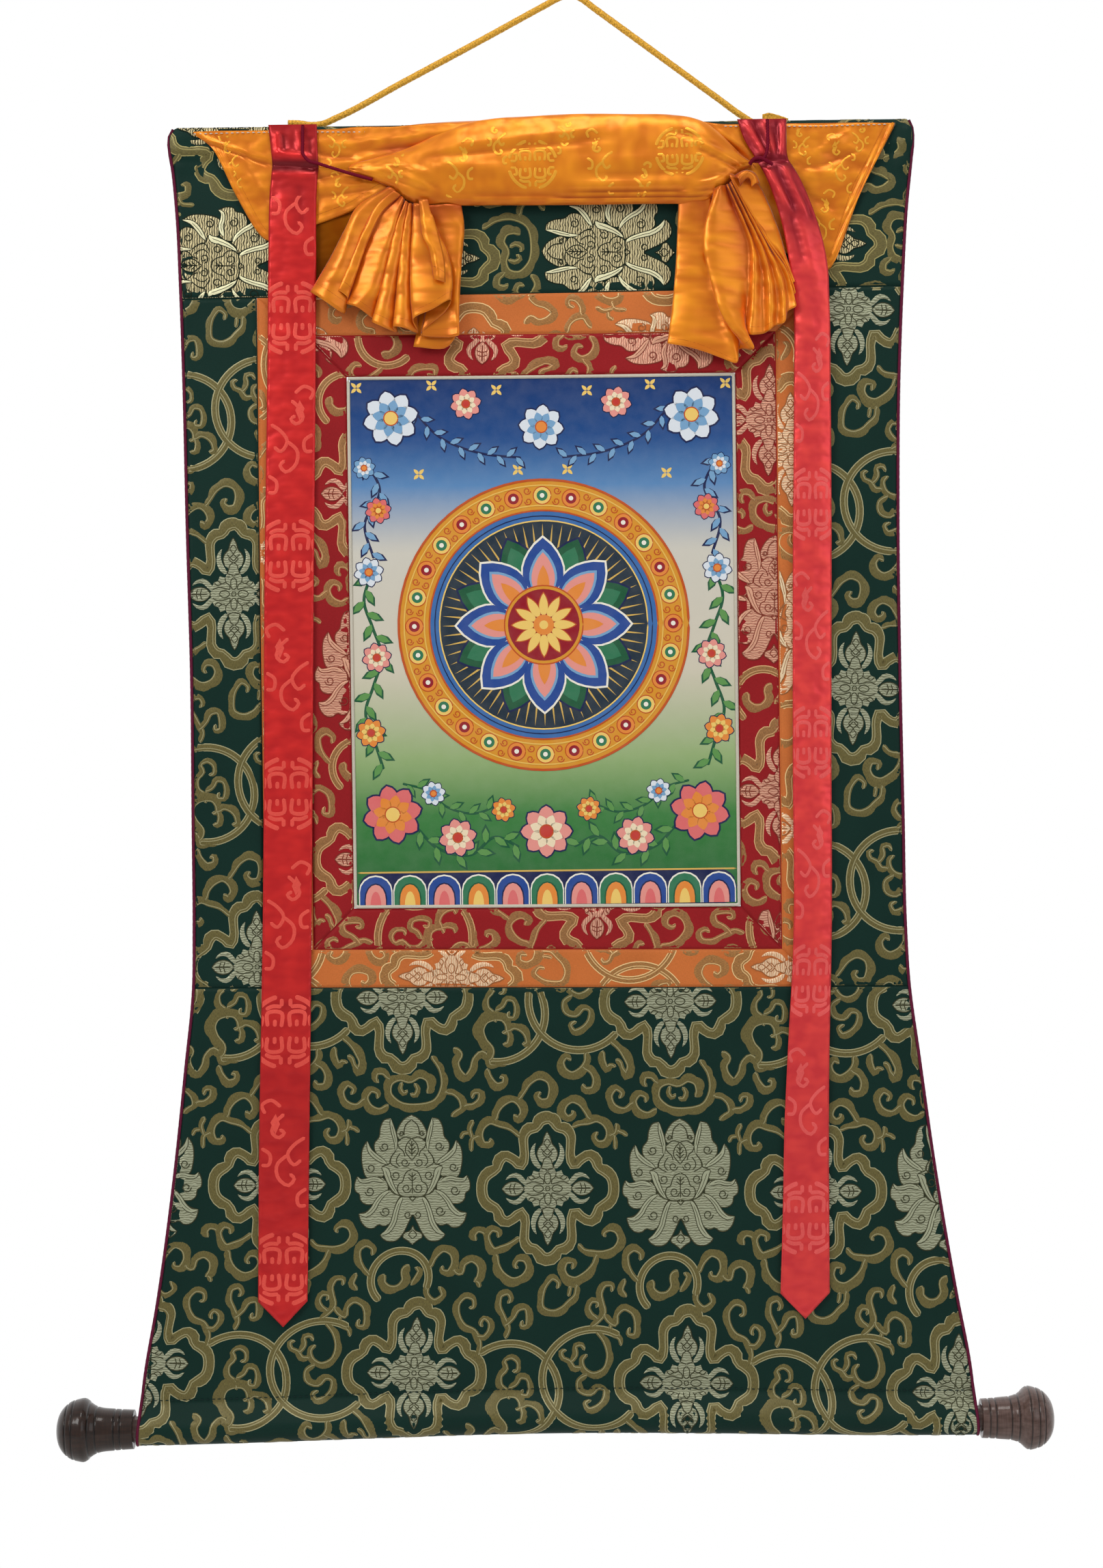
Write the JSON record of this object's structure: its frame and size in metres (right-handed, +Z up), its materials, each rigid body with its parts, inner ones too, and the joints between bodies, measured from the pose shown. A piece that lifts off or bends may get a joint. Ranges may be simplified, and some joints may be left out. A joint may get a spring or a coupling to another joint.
{
  "type": "thangka scroll painting with rods",
  "caption": "Painted canvas framed in silk brocade panels, hung by a cord, with a lifted silk veil, red ribbons, and a wooden dowel with turned knobs in its lower hem.",
  "frame": {"origin": "top of the hanging cord, where it turns over its nail", "axes": "+Z up, +X to the viewer's right, the viewer at -Y and the wall at +Y"},
  "size_m": [0.5882, 0.0388, 0.8598],
  "materials": {
    "green_brocade": "woven satin with raised gold scrolls",
    "orange_brocade": "woven satin with gold scrolls",
    "red_brocade": "woven satin with gold scrolls",
    "painted_canvas": "matt paint on cotton",
    "piping_white": "off-white cotton",
    "piping_magenta": "dark magenta cotton",
    "veil_silk": "glossy damask",
    "ribbon_silk": "satin damask",
    "tie_thread": "dark crimson thread",
    "cord_gold": "golden braid",
    "batten_wood": "plain",
    "walnut": "turned and waxed"
  },
  "bodies": {
    "root": {"top_panel": "green_brocade", "left_panel": "green_brocade", "right_panel": "green_brocade", "bottom_panel": "green_brocade", "orange_strip_top": "orange_brocade", "orange_strip_bottom": "orange_brocade", "orange_strip_left": "orange_brocade", "orange_strip_right": "orange_brocade", "red_strip_top": "red_brocade", "red_strip_bottom": "red_brocade", "red_strip_left": "red_brocade", "red_strip_right": "red_brocade", "picture_canvas": "painted_canvas", "picture_piping": "piping_white", "left_edge_piping": "piping_magenta", "right_edge_piping": "piping_magenta", "top_batten": "batten_wood", "bottom_dowel": "walnut", "left_knob": "walnut", "right_knob": "walnut", "veil": "veil_silk", "left_ribbon": "ribbon_silk", "right_ribbon": "ribbon_silk", "left_tie": "tie_thread", "right_tie": "tie_thread", "hanging_cord": "cord_gold"}
  },
  "joints": []
}
